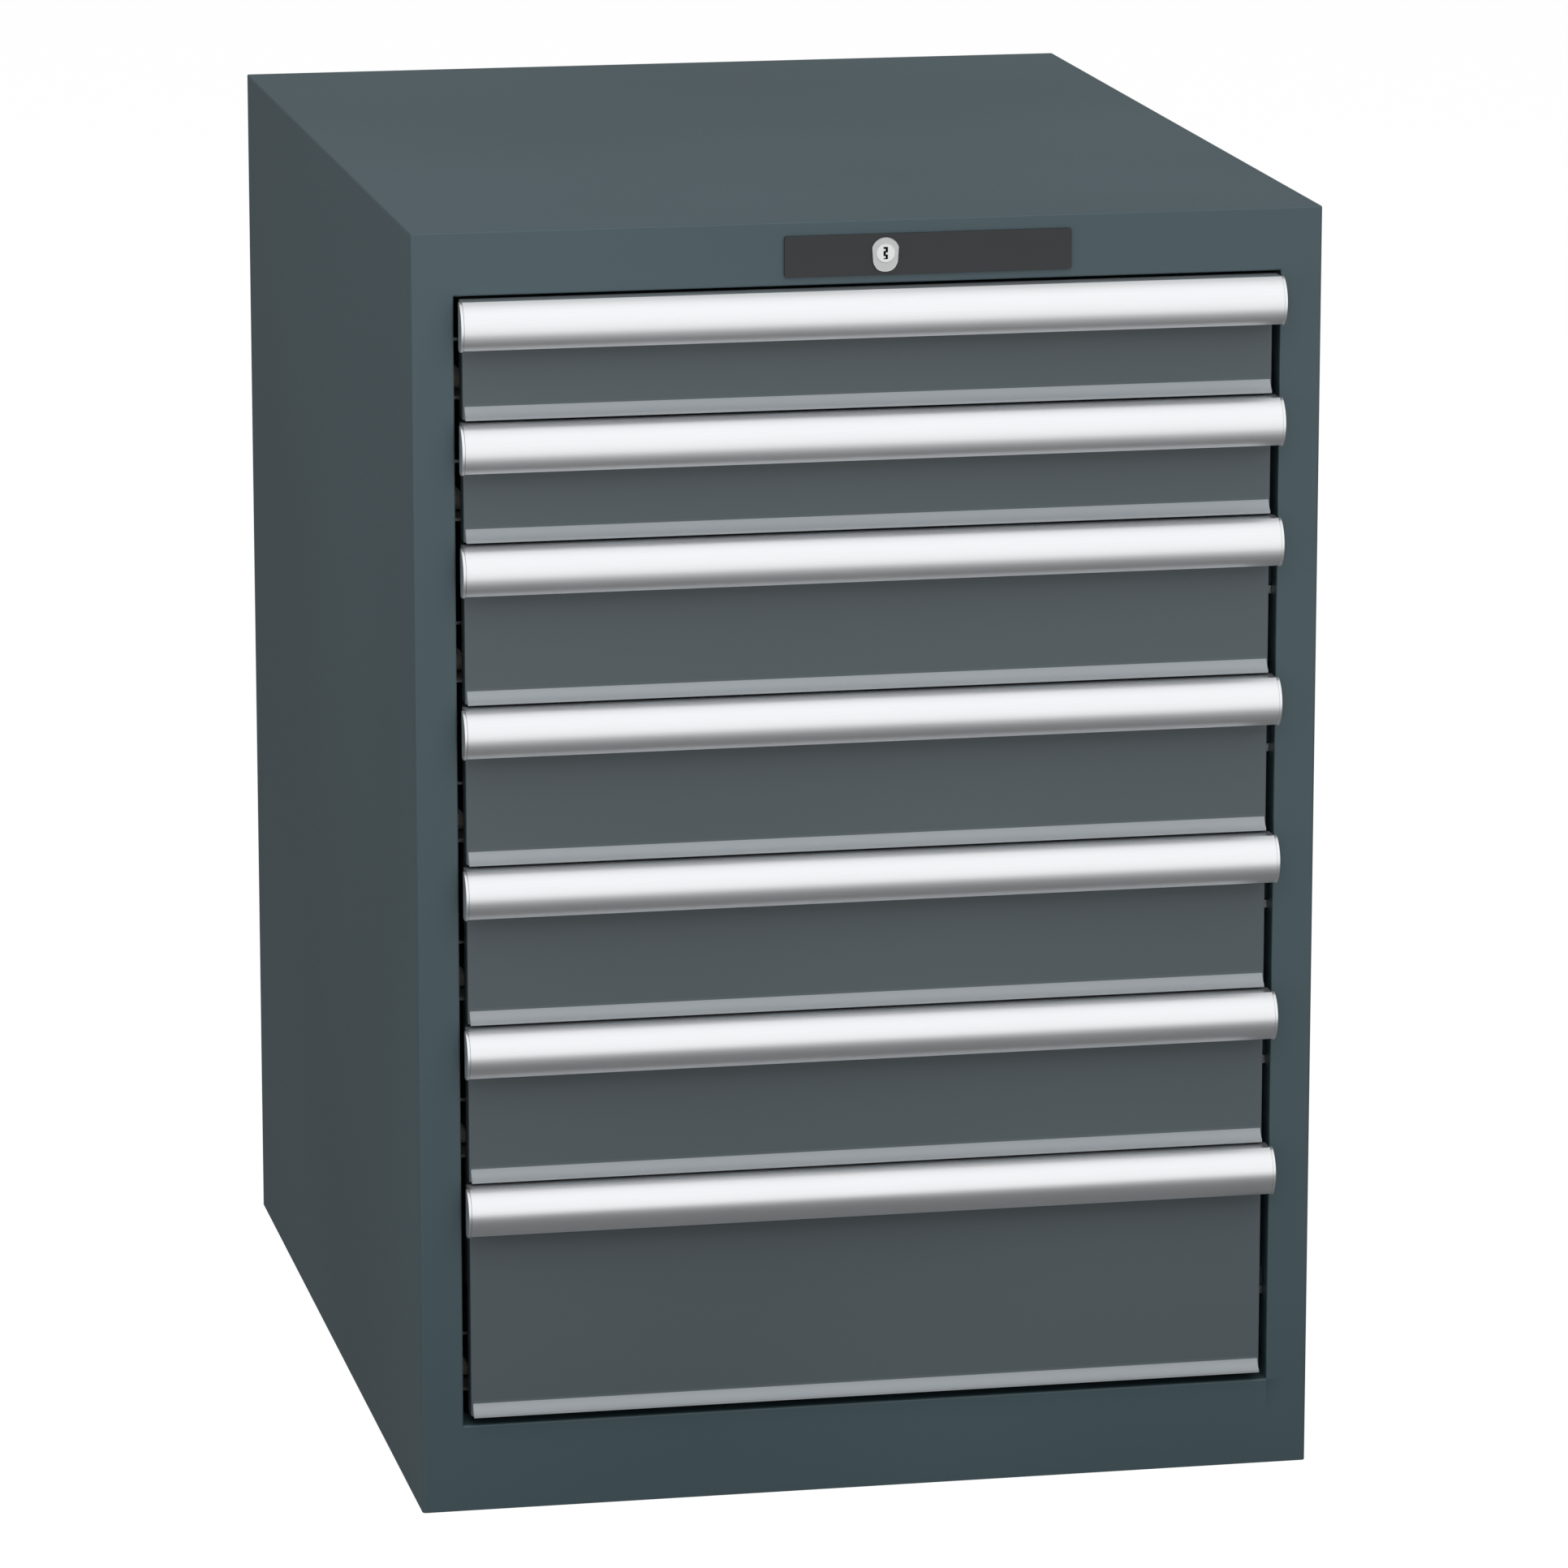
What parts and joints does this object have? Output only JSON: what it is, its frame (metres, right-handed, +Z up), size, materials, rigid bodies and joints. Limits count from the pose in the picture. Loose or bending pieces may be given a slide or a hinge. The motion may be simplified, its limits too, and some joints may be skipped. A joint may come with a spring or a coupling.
{
  "type": "multi-drawer cabinet",
  "caption": "Steel cabinet with a stack of full-extension drawers in three heights, full-width handle strips, roller slides and one key lock that bars all drawers.",
  "frame": {"origin": "middle of the base, on the floor that the cabinet stands on", "axes": "+Z up; the front, with the drawers, faces -Y; +X to the right for someone who looks at the front"},
  "size_m": [0.564, 0.747, 0.8],
  "materials": {
    "housing_paint": "satin powder coat, dark blue-grey, fine texture",
    "front_paint": "satin powder coat, slate blue-grey, fine texture",
    "tray_paint": "light grey powder coat",
    "handle_aluminium": "satin anodised extrusion",
    "zinc_steel": "zinc plated",
    "roller_plastic": "moulded polyamide",
    "black_plastic": "moulded, fine grain",
    "nickel": "satin nickel plate"
  },
  "bodies": {
    "housing": {"side_wall_left": "housing_paint", "side_wall_right": "housing_paint", "top_cover": "housing_paint", "base_pan": "housing_paint", "back_wall": "housing_paint", "uprights_left": "zinc_steel", "uprights_right": "zinc_steel", "cabinet_rails_left": "zinc_steel", "cabinet_rails_right": "zinc_steel", "lock_plate": "black_plastic", "lock_body": "nickel", "lock_nut": "nickel", "lock_guides": "black_plastic"},
    "key_plug": {"lock_plug": "nickel", "lock_cam": "zinc_steel"},
    "lock_slide": {"lock_slide": "zinc_steel"},
    "lock_bar": {"lock_bar": "zinc_steel"},
    "drawer_1": {"drawer_1_tray": "tray_paint", "drawer_1_front": "front_paint", "drawer_1_handle": "handle_aluminium", "drawer_1_runners": "zinc_steel"},
    "carriage_1": {"carriage_1_bars": "zinc_steel", "carriage_1_rollers": "roller_plastic"},
    "drawer_2": {"drawer_2_tray": "tray_paint", "drawer_2_front": "front_paint", "drawer_2_handle": "handle_aluminium", "drawer_2_runners": "zinc_steel"},
    "carriage_2": {"carriage_2_bars": "zinc_steel", "carriage_2_rollers": "roller_plastic"},
    "drawer_3": {"drawer_3_tray": "tray_paint", "drawer_3_front": "front_paint", "drawer_3_handle": "handle_aluminium", "drawer_3_runners": "zinc_steel"},
    "carriage_3": {"carriage_3_bars": "zinc_steel", "carriage_3_rollers": "roller_plastic"},
    "drawer_4": {"drawer_4_tray": "tray_paint", "drawer_4_front": "front_paint", "drawer_4_handle": "handle_aluminium", "drawer_4_runners": "zinc_steel"},
    "carriage_4": {"carriage_4_bars": "zinc_steel", "carriage_4_rollers": "roller_plastic"},
    "drawer_5": {"drawer_5_tray": "tray_paint", "drawer_5_front": "front_paint", "drawer_5_handle": "handle_aluminium", "drawer_5_runners": "zinc_steel"},
    "carriage_5": {"carriage_5_bars": "zinc_steel", "carriage_5_rollers": "roller_plastic"},
    "drawer_6": {"drawer_6_tray": "tray_paint", "drawer_6_front": "front_paint", "drawer_6_handle": "handle_aluminium", "drawer_6_runners": "zinc_steel"},
    "carriage_6": {"carriage_6_bars": "zinc_steel", "carriage_6_rollers": "roller_plastic"},
    "drawer_7": {"drawer_7_tray": "tray_paint", "drawer_7_front": "front_paint", "drawer_7_handle": "handle_aluminium", "drawer_7_runners": "zinc_steel"},
    "carriage_7": {"carriage_7_bars": "zinc_steel", "carriage_7_rollers": "roller_plastic"}
  },
  "joints": [
    {"name": "drawer_1_slide", "type": "slide", "parent": "housing", "child": "drawer_1", "axis": [0, -1, 0], "range_m": [0, 0.612]},
    {"name": "carriage_1_slide", "type": "slide", "parent": "housing", "child": "carriage_1", "axis": [0, -1, 0], "range_m": [0, 0.306]},
    {"name": "drawer_2_slide", "type": "slide", "parent": "housing", "child": "drawer_2", "axis": [0, -1, 0], "range_m": [0, 0.612]},
    {"name": "carriage_2_slide", "type": "slide", "parent": "housing", "child": "carriage_2", "axis": [0, -1, 0], "range_m": [0, 0.306]},
    {"name": "drawer_3_slide", "type": "slide", "parent": "housing", "child": "drawer_3", "axis": [0, -1, 0], "range_m": [0, 0.612]},
    {"name": "carriage_3_slide", "type": "slide", "parent": "housing", "child": "carriage_3", "axis": [0, -1, 0], "range_m": [0, 0.306]},
    {"name": "drawer_4_slide", "type": "slide", "parent": "housing", "child": "drawer_4", "axis": [0, -1, 0], "range_m": [0, 0.612]},
    {"name": "carriage_4_slide", "type": "slide", "parent": "housing", "child": "carriage_4", "axis": [0, -1, 0], "range_m": [0, 0.306]},
    {"name": "drawer_5_slide", "type": "slide", "parent": "housing", "child": "drawer_5", "axis": [0, -1, 0], "range_m": [0, 0.612]},
    {"name": "carriage_5_slide", "type": "slide", "parent": "housing", "child": "carriage_5", "axis": [0, -1, 0], "range_m": [0, 0.306]},
    {"name": "drawer_6_slide", "type": "slide", "parent": "housing", "child": "drawer_6", "axis": [0, -1, 0], "range_m": [0, 0.612]},
    {"name": "carriage_6_slide", "type": "slide", "parent": "housing", "child": "carriage_6", "axis": [0, -1, 0], "range_m": [0, 0.306]},
    {"name": "drawer_7_slide", "type": "slide", "parent": "housing", "child": "drawer_7", "axis": [0, -1, 0], "range_m": [0, 0.612]},
    {"name": "carriage_7_slide", "type": "slide", "parent": "housing", "child": "carriage_7", "axis": [0, -1, 0], "range_m": [0, 0.306]},
    {"name": "key_turn", "type": "hinge", "parent": "housing", "child": "key_plug", "pos_m": [0.008, -0.3625, 0.78], "axis": [0, 1, 0], "range_deg": [0, 90]},
    {"name": "lock_slide_travel", "type": "slide", "parent": "housing", "child": "lock_slide", "axis": [1, 0, 0], "range_m": [0, 0.0113]},
    {"name": "lock_bar_travel", "type": "slide", "parent": "housing", "child": "lock_bar", "axis": [0, 0, 1], "range_m": [0, 0.0113]}
  ],
  "couplings": [
    {"joint": "carriage_1_slide", "follows": "drawer_1_slide", "ratio": 0.5},
    {"joint": "carriage_2_slide", "follows": "drawer_2_slide", "ratio": 0.5},
    {"joint": "carriage_3_slide", "follows": "drawer_3_slide", "ratio": 0.5},
    {"joint": "carriage_4_slide", "follows": "drawer_4_slide", "ratio": 0.5},
    {"joint": "carriage_5_slide", "follows": "drawer_5_slide", "ratio": 0.5},
    {"joint": "carriage_6_slide", "follows": "drawer_6_slide", "ratio": 0.5},
    {"joint": "carriage_7_slide", "follows": "drawer_7_slide", "ratio": 0.5},
    {"joint": "key_turn", "follows": "lock_bar_travel", "rad_per_m": 139.01},
    {"joint": "lock_slide_travel", "follows": "lock_bar_travel", "ratio": 1}
  ]
}
